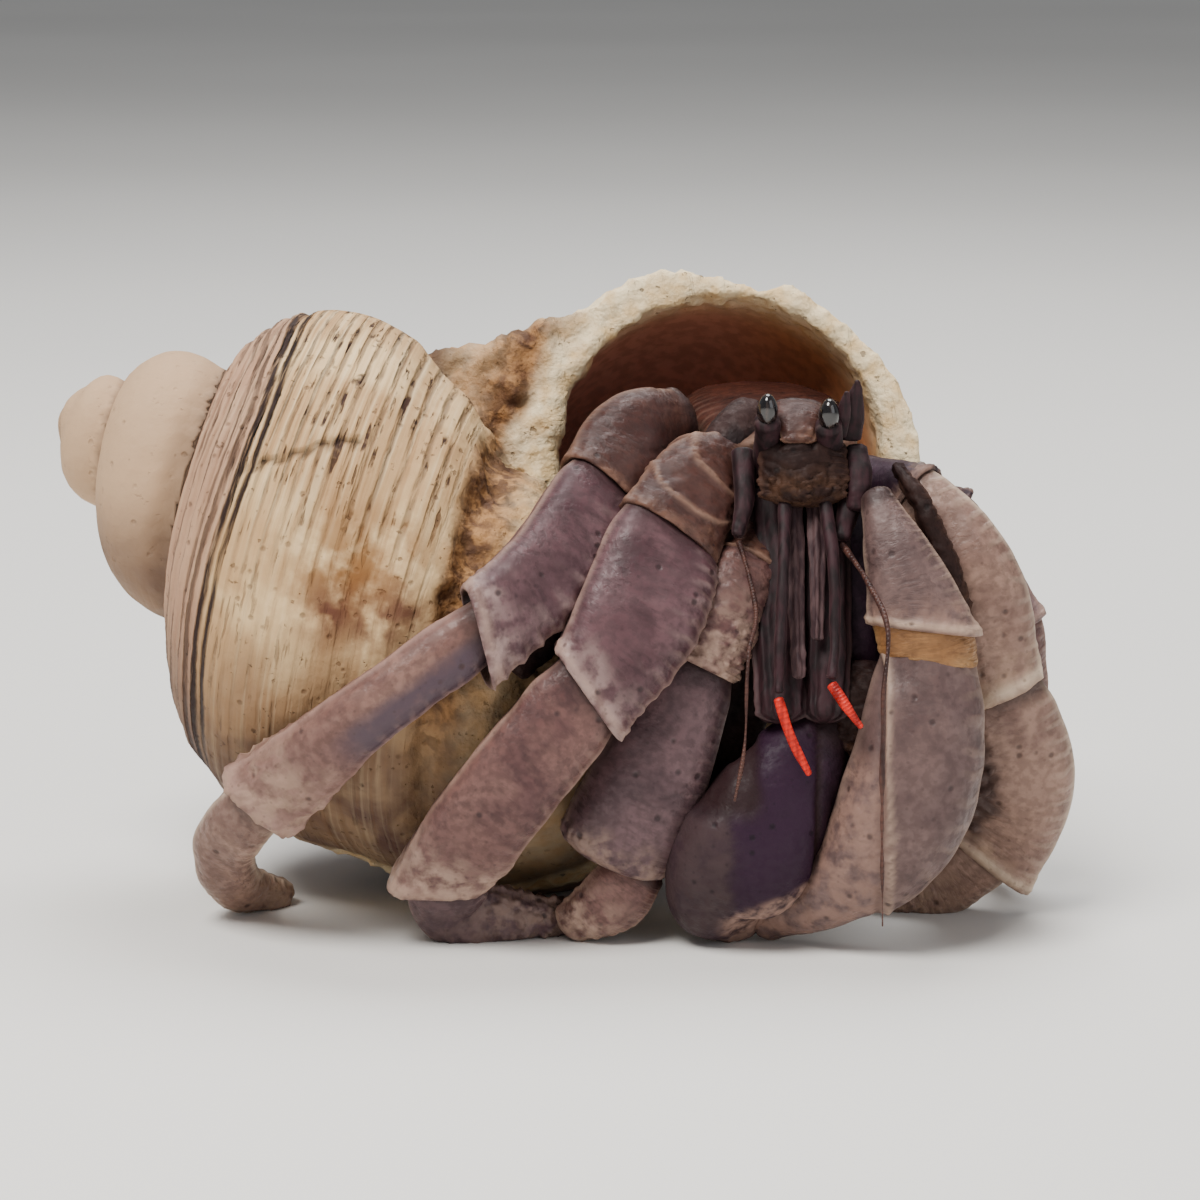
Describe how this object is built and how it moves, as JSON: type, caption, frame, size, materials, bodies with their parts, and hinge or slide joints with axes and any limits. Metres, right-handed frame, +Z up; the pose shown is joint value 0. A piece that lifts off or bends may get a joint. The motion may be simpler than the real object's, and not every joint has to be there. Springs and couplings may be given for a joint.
{
  "type": "hermit crab",
  "caption": "Hermit crab standing on its claws and walking legs, its soft hind body held inside a large, worn spiral snail shell that it carries on its back.",
  "frame": {"origin": "centre of the base of the whole model, on the floor that its feet and shell rest on", "axes": "+Z up, -Y the way the crab faces, +X the crab's left side"},
  "size_m": [0.0886, 0.058, 0.0548],
  "materials": {
    "shell": "worn, matt, finely grooved",
    "eye": "glossy",
    "flagellum": "satin",
    "mouthpart": "satin",
    "soft_body": "matt",
    "shield": "satin, pitted",
    "claw": "satin, granular",
    "leg": "satin, granular"
  },
  "bodies": {
    "root": {"shell": "shell", "thorax": "soft_body", "eye_right": "eye", "eyestalk_right": "mouthpart", "eye_left": "eye", "eyestalk_left": "mouthpart", "antennule_tip_right": "flagellum", "antennule_tip_left": "flagellum", "antennule_right": "mouthpart", "antennule_left": "mouthpart", "antenna_right": "mouthpart", "antenna_left": "mouthpart", "antenna_base_right": "mouthpart", "antenna_base_left": "mouthpart", "antenna_scale_left": "mouthpart", "maxilliped_right": "mouthpart", "maxilliped_left": "mouthpart", "claw_left_finger": "claw", "claw_left_palm": "claw", "claw_left_carpus": "claw", "claw_left_merus": "claw", "claw_right_finger": "claw", "claw_right_palm": "claw", "claw_right_carpus": "claw", "claw_right_merus": "claw", "right_front_leg_merus": "leg", "right_front_leg_carpus": "leg", "right_front_leg_propodus": "leg", "right_front_leg_dactylus": "leg", "right_rear_leg_merus": "leg", "right_rear_leg_carpus": "leg", "right_rear_leg_propodus": "leg", "right_rear_leg_dactylus": "leg", "left_front_leg_merus": "leg", "left_front_leg_carpus": "leg", "left_front_leg_propodus": "leg", "left_front_leg_dactylus": "leg", "left_rear_leg_merus": "leg", "left_rear_leg_carpus": "leg", "left_rear_leg_propodus": "leg", "left_rear_leg_dactylus": "leg", "shield": "shield", "abdomen": "soft_body"}
  },
  "joints": []
}
